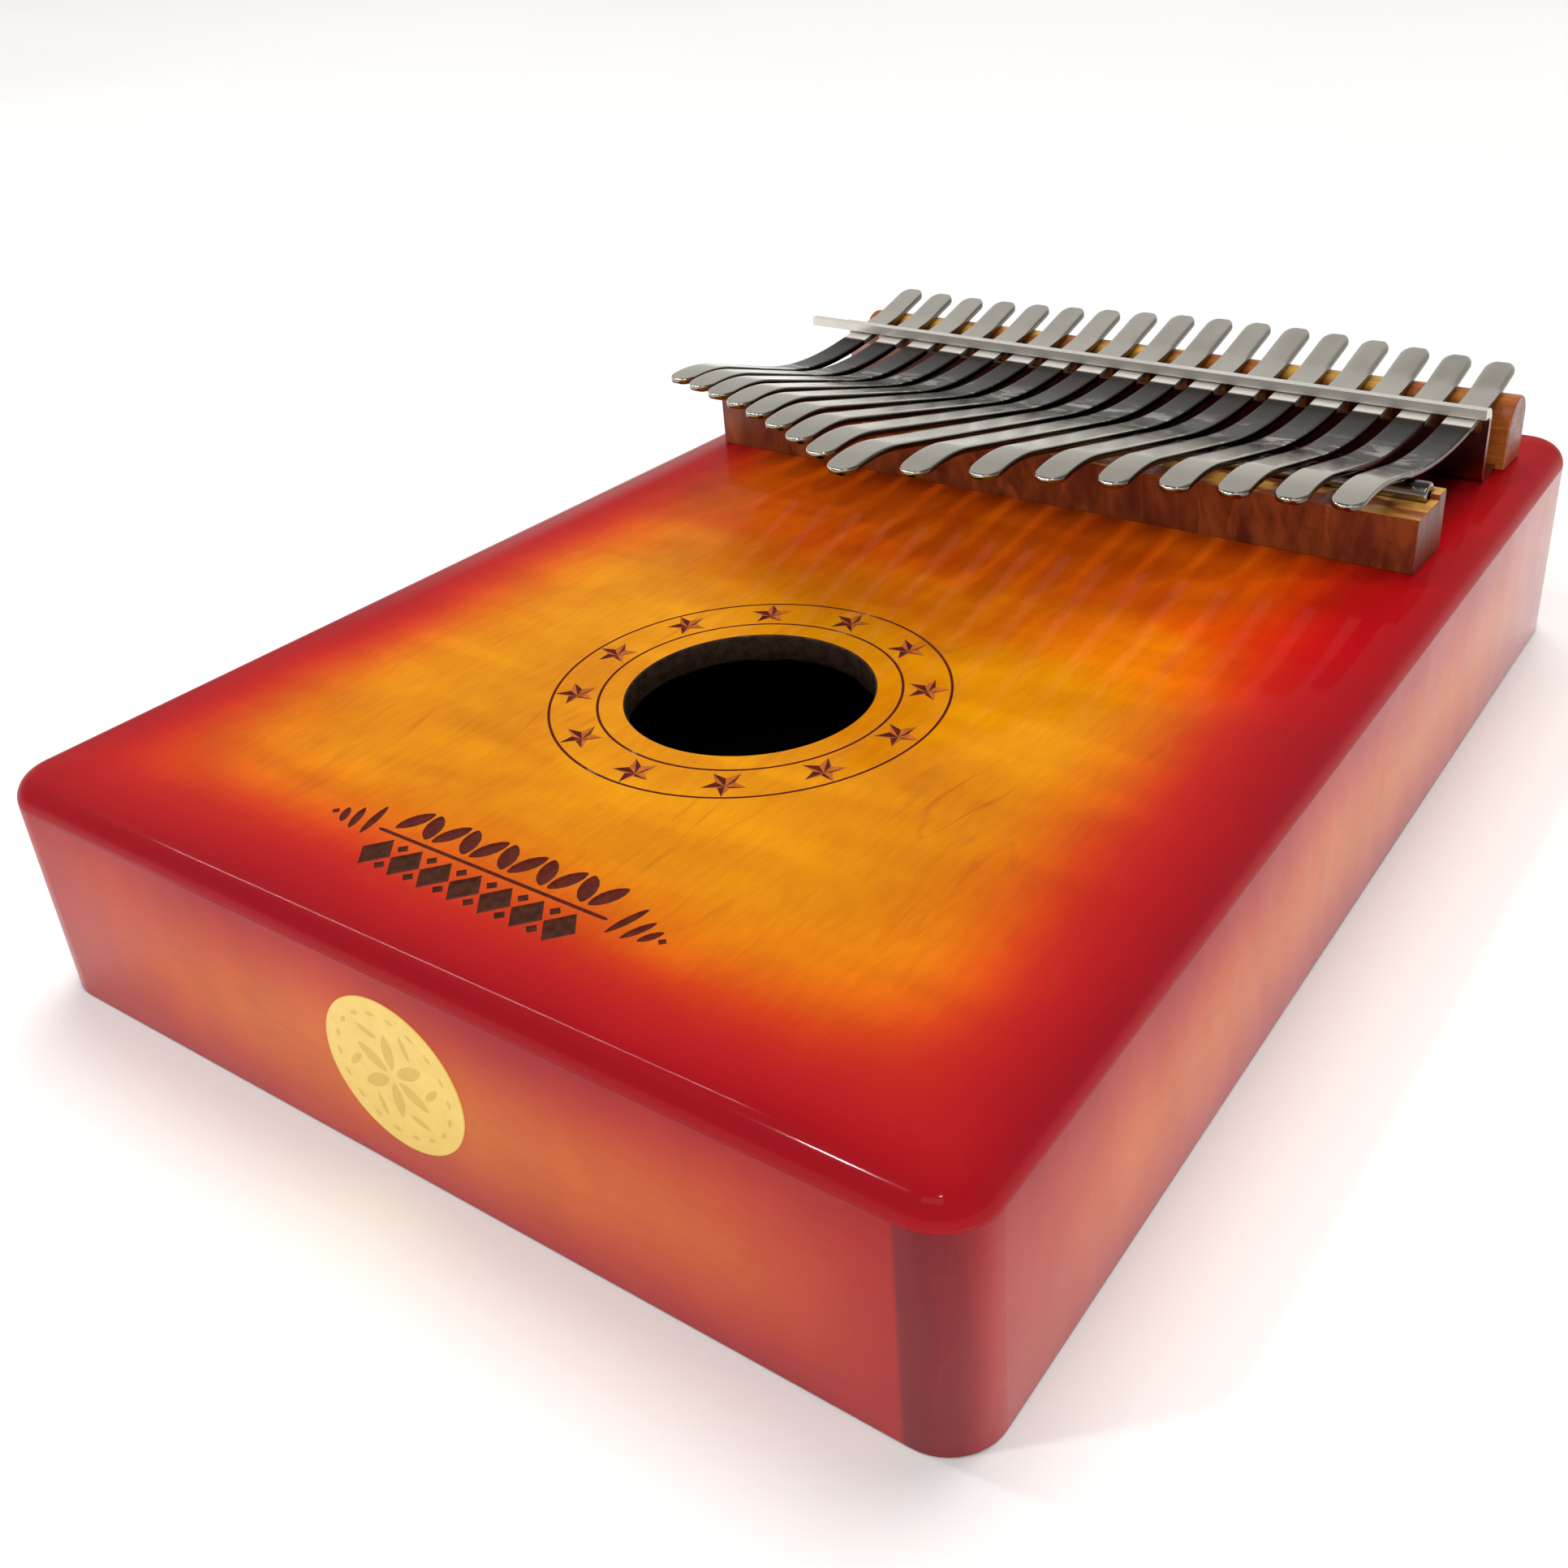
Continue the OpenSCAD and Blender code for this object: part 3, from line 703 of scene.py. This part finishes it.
def foil(name, colour, deep, rough):
    """Gold foil on paper: fine fibres and broad soft patches."""
    look = Look(name, Metallic=0.0, Coat_Weight=0.35, Coat_Roughness=0.2, Specular_IOR_Level=0.5)
    fibre = look.noise(420.0, detail=4.0)
    broad = look.noise(70.0, detail=2.0)
    tone = look.mix(look.between(fibre, 0.3, 0.7), colour, deep)
    tone = look.mix(look.between(broad, 0.35, 0.7, 0.0, 0.3), tone, tuple(v * 0.9 for v in colour))
    return look.set(Base_Color=tone, Roughness=look.between(broad, 0.3, 0.7, rough, rough + 0.1),
        Normal=look.bump(fibre, 0.08, 0.00003))


TOP_LOOK = sunburst_top()
BURNT_DARK = burnt("burnt_dark", (0.060, 0.014, 0.006), (0.030, 0.008, 0.004))
BURNT_BROWN = burnt("burnt_brown", (0.095, 0.012, 0.006), (0.060, 0.009, 0.005))
BURNT_LIGHT = burnt("burnt_light", (0.440, 0.120, 0.020), (0.320, 0.075, 0.014))
# Painted shade: the sound hole's wall and the soundboard's underside are made near black, as the shade inside the box.
HOLE_SHADE = burnt("hole_wall_shade", (0.036, 0.020, 0.013), (0.018, 0.010, 0.007))
STEEL_TINE = clamped_steel("steel_tine", (0.86, 0.82, 0.74), 0.14)
STEEL_ROD = steel("steel_rod", (0.34, 0.33, 0.30), 0.16)
STEEL_SCREW = steel("steel_screw", (0.70, 0.67, 0.62), 0.2)
STEEL_BRACKET = bracket_steel("steel_bracket", (0.74, 0.71, 0.65), 0.22)
BRIDGE_LOOK = hardwood("bridge_wood", (0.265, 0.060, 0.015), (0.125, 0.021, 0.007), (0.66, 0.32, 0.06), True)
BACK_BRIDGE_LOOK = hardwood(
    "back_bridge_wood", (0.40, 0.120, 0.018), (0.23, 0.048, 0.009), (0.70, 0.37, 0.06), False, 0.36)
FOIL = foil("gold_foil", (0.86, 0.61, 0.13), (0.80, 0.55, 0.11), 0.42)
FOIL_DARK = foil("gold_foil_dark", (0.70, 0.46, 0.075), (0.66, 0.43, 0.070), 0.5)


# Soundboard


ROLL_TO = 7.6  # how far in from the outline the top starts to fall away
ROLL_DROP = 0.2
HOLE_EASE = 0.25  # the hole's upper corner is rounded this far out
FIELD, DARK, BROWN, LIGHT, WALL = range(5)  # the soundboard's material slots


def rolled(inset):
    """The lacquered top falls away slightly towards its rounded edge."""
    return ROLL_DROP * max(0.0, 1 - (inset - EDGE_R) / (ROLL_TO - EDGE_R)) ** 2


def carve_top():
    gap_r = HOLE_R + HOLE_EASE
    field = Carving(outline(ROLL_TO, corner=3.0))
    field.hole(ring(0, HOLE_Y, gap_r, HOLE_SIDES))
    for r in RING_RS:
        field.groove(0, HOLE_Y, r, RING_W, 0.12, BROWN)
    for i in range(STARS):
        turn = 360 * i / STARS
        cx = -STAR_RING_R * math.sin(math.radians(turn))
        cy = HOLE_Y + STAR_RING_R * math.cos(math.radians(turn))
        field.star(cx, cy, STAR_R, turn, 0.42, 0.35, (BROWN, LIGHT))
    carve_border(field)
    return field.build(lambda x, y: math.hypot(x, y - HOLE_Y) < gap_r * math.cos(math.pi / HOLE_SIDES))


BORDER_Y = -76.6
BORDER_HALF = 15.4


def carve_border(field):
    """A plain border of leaves and lozenges either side of a line, burnt in front of the rosette."""
    field.leaf(bar(2 * BORDER_HALF + 2.4, 0.5), 0, BORDER_Y, 0, 0.12, BROWN, (0.99, 0.3))
    leaves = 11
    for i in range(leaves):
        x = -BORDER_HALF + 2 * BORDER_HALF * (i + 0.5) / leaves
        field.leaf(almond(4.7, 2.1), x, BORDER_Y + 3.05, 66 if i % 2 == 0 else 114, 0.14, BROWN, (0.9, 0.5))
    bold = 7
    for i in range(bold):
        x = -BORDER_HALF + 2 * BORDER_HALF * (i + 0.5) / bold
        field.leaf(lozenge(4.2, 5.2), x, BORDER_Y - 3.4, 0, 0.12, DARK, (0.7, 0.7))
        if i:
            between = x - BORDER_HALF / bold
            for off in (-1.7, 1.7):
                field.leaf(lozenge(1.5, 1.5), between, BORDER_Y - 3.3 + off, 0, 0.1, DARK, (0.5, 0.5))
    for side in (-1, 1):
        for n, (off, length, up) in enumerate(((18.3, 5.6, 0.9), (20.3, 4.2, 0.2), (22.0, 2.9, 0.0))):
            field.leaf(almond(length, 1.1), side * off, BORDER_Y + up, 90 - side * (14 + 8 * n), 0.12, BROWN)
        field.leaf(lozenge(1.1, 1.1), side * 23.5, BORDER_Y, 0, 0.1, BROWN, (0.45, 0.45))


def build_soundboard():
    """The carved top, its rolled edge, the sound hole's wall and the underside, as one closed mesh."""
    flat, top_faces, slots, number = carve_top()
    verts = [(x, y, TOP + d) for x, y, d in flat]
    faces = [tuple(f) for f in top_faces]
    smooth = [False] * len(faces)
    rim_n = len(outline(0))
    loop = [number[i] for i in range(rim_n)]
    profile = []
    for k in range(1, ROLL_STEPS + 1):
        inset = ROLL_TO - (ROLL_TO - EDGE_R) * k / ROLL_STEPS
        profile.append((inset, TOP - rolled(inset)))
    for k in range(1, EDGE_STEPS + 1):
        a = math.radians(90 * (1 - k / EDGE_STEPS))
        profile.append((EDGE_R * (1 - math.cos(a)), TOP - EDGE_R + (EDGE_R - ROLL_DROP) * math.sin(a)))
    inner = loop
    for inset, z in profile:
        first = len(verts)
        corner = 0.3 + 2.7 * max(0.0, (inset - EDGE_R) / (ROLL_TO - EDGE_R))
        verts += [(x, y, z) for x, y in outline(inset, corner=max(corner, CORNER_R - inset))]
        outer = list(range(first, first + rim_n))
        bridge_loops(faces, outer, inner)
        inner = outer
    rim = inner
    low = TOP - TOP_T
    wall = [number[rim_n + i] for i in range(HOLE_SIDES)]
    for r, z in ((HOLE_R + 0.1, TOP - 0.08), (HOLE_R, TOP - 0.3), (HOLE_R, low + 0.3), (HOLE_R + 0.2, low)):
        first = len(verts)
        verts += [(x, y, z) for x, y in ring(0, HOLE_Y, r, HOLE_SIDES)]
        step = list(range(first, first + HOLE_SIDES))
        bridge_loops(faces, wall, step)
        wall = step
    side_n = len(faces) - len(slots)
    under = Carving([verts[i][:2] for i in rim])
    under.hole([verts[i][:2] for i in wall])
    _, u_faces, _, u_number = under.build(lambda x, y: math.hypot(x, y - HOLE_Y) < HOLE_R)
    back = {u_number[i]: v for i, v in enumerate(rim + wall)}
    for f in u_faces:
        faces.append(tuple(back[i] for i in reversed(f)))
    edge_n = len(profile) * rim_n
    all_slots = slots + [FIELD] * edge_n + [WALL] * (side_n - edge_n) + [WALL] * len(u_faces)
    smooth += [True] * side_n + [False] * len(u_faces)
    return make_object("soundboard_top", verts, faces,
        [TOP_LOOK, BURNT_DARK, BURNT_BROWN, BURNT_LIGHT, HOLE_SHADE], all_slots, smooth,
        node="soundboard")


# Tines


def rise_of(k):
    """How steeply tine k rises in front of the rod, in degrees: more towards the left."""
    return RISE + RISE_GAIN * max(0, MIDDLE - k)


def tip_y(k):
    n = abs(k - MIDDLE)
    step, ease = TIP_STEPS[k >= MIDDLE]
    return TIP_MID_Y + (step * n - ease * n * n)


def tail_end(k):
    """The tails end along a shallow wave, sixteen tines long."""
    return TAIL_Y + TAIL_WAVE * math.sin(math.radians(22.5 * (k - 7)))


def hermite(y, y0, z0, s0, y1, z1, s1):
    h = y1 - y0
    t = (y - y0) / h
    return (z0 * (2 * t**3 - 3 * t * t + 1) + h * s0 * (t**3 - 2 * t * t + t)
        + z1 * (3 * t * t - 2 * t**3) + h * s1 * (t**3 - t * t))


def tine_path(k):
    """Points (y, z) along the middle of a tine from its tail to its tip, running towards -Y."""
    a = math.radians(rise_of(k))
    rod_z, slot_z, rest_z = MID_ROD_Z + SETTLE_ROD, SLOT_Z + SETTLE_SLOT, REST_Z + SETTLE_REST
    tail = tail_end(k)
    ys = [tail - (tail - REST_Y) * i / 6 for i in range(6)]
    ys += [REST_Y - (REST_Y - SLOT_Y) * i / 12 for i in range(12)]
    ys += [SLOT_Y - (SLOT_Y - ROD_Y) * i / 26 for i in range(27)]

    def z_at(y):
        if y < SLOT_Y:
            return hermite(y, ROD_Y, rod_z, -math.tan(a), SLOT_Y, slot_z, SLOT_SLOPE)
        if y < REST_Y:
            return hermite(y, SLOT_Y, slot_z, SLOT_SLOPE, REST_Y, rest_z, TAIL_SLOPE)
        return rest_z + TAIL_SLOPE * (y - REST_Y)

    path = [(y, z_at(y)) for y in ys]
    straight = (ROD_Y - tip_y(k) - KNEE_R * (math.sin(a) - math.sin(a - math.radians(TIP_TURN)))
        - TIP_L * math.cos(a - math.radians(TIP_TURN))) / math.cos(a)
    for i in range(1, 9):
        d = straight * i / 8
        path.append((ROD_Y - d * math.cos(a), rod_z + d * math.sin(a)))
    y0, z0 = path[-1]
    for i in range(1, 13):
        b = a - math.radians(TIP_TURN) * i / 12
        path.append((y0 - KNEE_R * (math.sin(a) - math.sin(b)), z0 + KNEE_R * (math.cos(b) - math.cos(a))))
    y0, z0 = path[-1]
    reach = TIP_L + TIP_REACH
    path.append((y0 - reach * math.cos(b), z0 + reach * math.sin(b)))
    return path


def along_path(path):
    """Arc lengths of the path, and a function from arc length to (y, z)."""
    lengths = [0.0]
    for (y0, z0), (y1, z1) in zip(path, path[1:]):
        lengths.append(lengths[-1] + math.hypot(y1 - y0, z1 - z0))

    def at(s):
        s = min(max(s, 0.0), lengths[-1])
        i = min(max(next((n for n, v in enumerate(lengths) if v >= s), len(lengths) - 1), 1), len(lengths) - 1)
        t = (s - lengths[i - 1]) / (lengths[i] - lengths[i - 1])
        (y0, z0), (y1, z1) = path[i - 1], path[i]
        return y0 + (y1 - y0) * t, z0 + (z1 - z0) * t

    return lengths, at


def section(half_w, half_t, edge):
    """A flat strip's section with rounded edges: (across, up) points, counter-clockwise."""
    edge = min(edge, half_t * 0.98, half_w * 0.9)
    points = []
    for sx, sz, start in ((1, 1, 0), (-1, 1, 90), (-1, -1, 180), (1, -1, 270)):
        for i in range(5):
            a = math.radians(start + 90 * i / 4)
            points.append((sx * (half_w - edge) + edge * math.cos(a), sz * (half_t - edge) + edge * math.sin(a)))
        if start in (0, 180):
            for w in (0.72, 0.0, -0.72):
                points.append((sx * w * (half_w - edge), sz * half_t))
    return points


def build_tine(k):
    """One strip swept along tine k's path, round at both ends, curved between its root and playing end."""
    path = tine_path(k)
    lengths, at = along_path(path)
    total = lengths[-1]
    half_w, half_t = TINE_W / 2, TINE_T / 2
    ends = [half_w * (1 - math.cos(math.radians(6 + 84 * i / 11))) for i in range(12)]
    stations = [(d, d) for d in ends]
    stations += [(s, half_w) for s in lengths if half_w * 1.08 < s < total - half_w * 1.08]
    stations += [(total - d, d) for d in reversed(ends)]
    x0 = (k - MIDDLE) * PITCH
    verts, faces, loops = [], [], []
    for s, d in stations:
        y, z = at(s)
        (ya, za), (yb, zb) = at(s - 0.35), at(s + 0.35)
        run = math.hypot(yb - ya, zb - za)
        dy, dz = (yb - ya) / run, (zb - za) / run
        w = math.sqrt(max(half_w**2 - (half_w - d) ** 2, 0.0))
        round_off = 0.42
        t = half_t
        if d < round_off:
            t = half_t - round_off + math.sqrt(round_off**2 - (round_off - d) ** 2)
        first = len(verts)
        for u, v in section(w, max(t, 0.06), 0.20 if d >= half_w else 0.24):
            verts.append((x0 + u, y + v * dz, z - v * dy))
        loops.append(list(range(first, len(verts))))
    for a, b in zip(loops, loops[1:]):
        bridge_loops(faces, a, b)
    faces.append(tuple(reversed(loops[0])))
    faces.append(tuple(loops[-1]))
    name = f"{k:02d}"
    obj = make_object(f"tine_blade_{name}", verts, faces, [STEEL_TINE], ride=False)
    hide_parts(f"tine_root_{name}", f"tine_{name}")
    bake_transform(obj)
    return obj


# Turned parts


def turned_along_x(name, profile, cy, cz, material, node):
    """A solid turned about an axis along X. profile is (x, radius) from end to end."""
    verts, faces, loops = [], [], []
    for x, r in profile:
        first = len(verts)
        verts += [(x, cy + v, cz + w) for v, w in ring(0, 0, r, ROD_SIDES)]
        loops.append(list(range(first, first + ROD_SIDES)))
    for a, b in zip(loops, loops[1:]):
        bridge_loops(faces, b, a)
    faces.append(tuple(loops[0]))
    faces.append(tuple(reversed(loops[-1])))
    obj = make_object(name, verts, faces, [material], node=node)
    obj.data.set_sharp_from_angle(angle=math.radians(60))
    return obj


def build_rod():
    half, ease = ROD_L / 2, 0.35
    ends = [(half - ease + ease * math.sin(math.radians(a)), ROD_R - ease + ease * math.cos(math.radians(a)))
        for a in range(0, 91, 18)]
    dimple = [(half, 0.62), (half - 0.3, 0.2)]
    profile = [(half - 4 * i, ROD_R) for i in range(int(half / 4), 0, -1)]
    right = [(0.0, ROD_R)] + profile + ends + dimple
    left = [(-x, r) for x, r in reversed(right)][:-1]
    return turned_along_x("bridge_rod_turned", left + right, ROD_Y, ROD_Z, STEEL_ROD, "bridge_rod")


# Label


def build_label():
    """An oval of foil pressed with petals and a ring of dots."""
    low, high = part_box("label")
    cx, cz = (low.x + high.x) / 2 / MM, (low.z + high.z) / 2 / MM
    rx, rz = (high.x - low.x) / 2 / MM, (high.z - low.z) / 2 / MM
    back, front = high.y / MM, low.y / MM
    n = LABEL_SIDES
    ease = 0.12

    def oval(inset):
        return [((rx - inset) * math.cos(TAU * i / n), (rz - inset) * math.sin(TAU * i / n)) for i in range(n)]

    field = Carving(oval(ease))
    for i in range(6):
        a = 60 * i + 30
        c, s = math.cos(math.radians(a)), math.sin(math.radians(a))
        field.leaf(almond(4.6, 1.7), 3.1 * c, 3.1 * s, a, 0.02, 1, (0.9, 0.8))
        c, s = math.cos(math.radians(a + 30)), math.sin(math.radians(a + 30))
        field.leaf(almond(3.0, 0.9), 5.6 * c, 5.6 * s, a + 75, 0.02, 1, (0.9, 0.8))
    for i in range(18):
        a = TAU * i / 18
        field.leaf(lozenge(1.5, 0.7), (rx - 1.9) * math.cos(a), (rz - 1.9) * math.sin(a),
            math.degrees(a) + 90, 0.015, 1, (0.8, 0.8))
    flat, top_faces, slots, number = field.build()
    verts = [(cx + x, front - d, cz + y) for x, y, d in flat]
    faces = [tuple(f) for f in top_faces]
    inner = [number[i] for i in range(n)]
    for inset, y in ((0.03, front + 0.03), (0.0, back)):
        first = len(verts)
        verts += [(cx + x, y, cz + z) for x, z in oval(inset)]
        outer = list(range(first, first + n))
        bridge_loops(faces, outer, inner)
        inner = outer
    faces.append(tuple(reversed(inner)))
    rest = len(faces) - len(slots)
    return make_object("label_foil", verts, faces, [FOIL, FOIL_DARK], slots + [0] * rest,
        [False] * len(faces), node="label")


LIP_Z = 40.0


def full_lip(point):
    """The folded lip is a little fuller than the bare sheet: rolled over at its front and top."""
    x, y, z = (v / MM for v in point)
    up = max(0.0, min(1.0, (z - LIP_Z) / 0.9))
    if z > LIP_Z - 0.05:
        y -= 0.45 * max(0.0, min(1.0, (66.8 - y) / 1.0))
    return Vector((x, y, z + 0.45 * up)) * MM


def dress(node, material):
    """Gives a CAD node that stays as it is its material."""
    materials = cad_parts[node].data.materials
    for i in range(len(materials)):
        materials[i] = material


# Pieces

build_soundboard()
dress("left_side", board_material("side_board_left", "y"))
dress("right_side", board_material("side_board_right", "y"))
dress("near_end", board_material("end_board_near", "x"))
dress("far_end", board_material("end_board_far", "x"))
dress("back_plate", back_material())
dress("bridge_brace", raw_wood())
bevelled("front_bridge_block", "front_bridge", 0.35, BRIDGE_LOOK)
bevelled("back_bridge_block", "back_bridge", 0.3, BACK_BRIDGE_LOOK)
bevelled("clamp_sheet", "pressure_bracket", 0.3, STEEL_BRACKET, shape=full_lip)
bevelled("clamp_screws", "bracket_screws", 0.12, STEEL_SCREW, segments=2)
build_rod()
build_label()
for number in range(1, TINES + 1):
    build_tine(number)


# Floor, light and camera


def floor():
    look = Look("floor_pale", Roughness=0.75, Specular_IOR_Level=0.25)
    tone = look.noise(3.0, detail=3.0)
    look.set(Base_Color=look.mix(look.between(tone, 0.3, 0.7), (0.87, 0.867, 0.86), (0.90, 0.897, 0.89)))
    half = 12.0
    mesh = bpy.data.meshes.new("floor")
    mesh.from_pydata([(-half, -half, 0), (half, -half, 0), (half, half, 0), (-half, half, 0)], [], [(0, 1, 2, 3)])
    mesh.materials.append(look.material)
    obj = bpy.data.objects.new("floor", mesh)
    bpy.context.scene.collection.objects.link(obj)
    obj.location.z = -0.0002


def area_light(name, azimuth, elevation, distance, size, power):
    """A soft rectangular light, azimuth degrees from +Y towards -X, pointing at the box."""
    a, e = math.radians(azimuth), math.radians(elevation)
    light = bpy.data.lights.new(name, "AREA")
    light.shape = "RECTANGLE"
    light.size, light.size_y = size
    light.energy = power
    obj = bpy.data.objects.new(name, light)
    obj.location = Vector((-math.sin(a) * math.cos(e), math.cos(a) * math.cos(e), math.sin(e))) * distance
    obj.rotation_euler = (Vector((0, 0, 0.03)) - obj.location).to_track_quat("-Z", "Y").to_euler()
    bpy.context.scene.collection.objects.link(obj)


def distant_light(name, azimuth, elevation, spread, strength, colour):
    """A soft light so far off that it lights the object and the whole floor evenly. spread is its size in degrees."""
    a, e = math.radians(azimuth), math.radians(elevation)
    light = bpy.data.lights.new(name, "SUN")
    light.angle = math.radians(spread)
    light.energy = strength
    light.color = colour
    obj = bpy.data.objects.new(name, light)
    obj.location = Vector((-math.sin(a) * math.cos(e), math.cos(a) * math.cos(e), math.sin(e)))
    obj.rotation_euler = (-obj.location).to_track_quat("-Z", "Y").to_euler()
    obj.visible_glossy = False
    bpy.context.scene.collection.objects.link(obj)


def sky():
    """Studio surround: pale walls up to about 45 degrees behind the object, a dark ceiling and a dim room in front.

    The camera itself sees a plain pale backdrop.
    """
    world = bpy.data.worlds.new("studio")
    bpy.context.scene.world = world
    world.use_nodes = True
    tree = world.node_tree
    background = tree.nodes["Background"]

    def linked(kind, *values, **attributes):
        made = tree.nodes.new(kind)
        for key, value in attributes.items():
            setattr(made, key, value)
        for socket, value in zip(made.inputs, values):
            if isinstance(value, bpy.types.NodeSocket):
                tree.links.new(value, socket)
            elif value is not None:
                socket.default_value = value
        return made

    def ramp(value, stops):
        made = linked("ShaderNodeValToRGB", value)
        elements = made.color_ramp.elements
        while len(elements) < len(stops):
            elements.new(1.0)
        for element, (at, level) in zip(elements, stops):
            element.position = at
            element.color = (level, level, level, 1)
        return made.outputs["Color"]

    place = tree.nodes.new("ShaderNodeTexCoord").outputs["Generated"]
    up = linked("ShaderNodeSeparateXYZ", place).outputs["Z"]
    walls = ramp(up, ((0.0, 0.56), (0.35, 0.54), (0.42, 0.50), (0.70, 0.46), (0.78, 0.12), (1.0, 0.09)))
    behind = linked("ShaderNodeVectorMath", place, (-0.55, 0.83, 0.0), operation="DOT_PRODUCT").outputs["Value"]
    room = linked("ShaderNodeMapRange", behind, -0.25, 0.45, 0.5, 1.0, interpolation_type="SMOOTHSTEP").outputs[0]
    both = linked("ShaderNodeVectorMath", walls, room, operation="MULTIPLY").outputs[0]
    tinted = linked("ShaderNodeVectorMath", both, (1.0, 0.985, 0.955), operation="MULTIPLY").outputs[0]
    tree.links.new(tinted, background.inputs["Color"])
    background.inputs["Strength"].default_value = 1.0
    backdrop = linked("ShaderNodeBackground", (0.93, 0.93, 0.92, 1.0)).outputs[0]
    seen = tree.nodes.new("ShaderNodeLightPath").outputs["Is Camera Ray"]
    shown = linked("ShaderNodeMixShader", seen, background.outputs[0], backdrop).outputs[0]
    tree.links.new(shown, tree.nodes["World Output"].inputs["Surface"])


floor()
sky()
distant_light("key", 12, 64, 42, 2.2, (1.0, 0.985, 0.96))
distant_light("fill_front", 195, 13, 26, 0.71, (1.0, 0.985, 0.96))
distant_light("fill_right", 268, 22, 28, 0.98, (1.0, 0.985, 0.97))
area_light("window_front", 200, 50, 0.8, (0.35, 0.20), 0.45)
area_light("lamp_left", 146, 51.4, 0.945, (0.05, 0.04), 1.6)
area_light("tube_left", 107, 50, 0.92, (0.012, 0.42), 1.2)
area_light("lamp_right", 215, 62, 0.8, (0.04, 0.04), 0.5)

# The photo's camera, solved from the box's edges, the sound hole and the ring of stars
CAMERA_LENS = 39.8815
CAMERA_PLACE = (0.118417, -0.172980, 0.127332)
CAMERA_TURN = (58.8831, 4.1787, 36.5996)

camera_data = bpy.data.cameras.new("camera")
camera = bpy.data.objects.new("camera", camera_data)
bpy.context.scene.collection.objects.link(camera)
camera_data.sensor_width = 36.0
camera_data.lens = CAMERA_LENS
camera_data.clip_start = 0.01
camera_data.clip_end = 20.0
camera.location = CAMERA_PLACE
camera.rotation_euler = Euler([math.radians(v) for v in CAMERA_TURN], "XYZ")
bpy.context.scene.camera = camera
bpy.context.scene.view_settings.view_transform = "Standard"
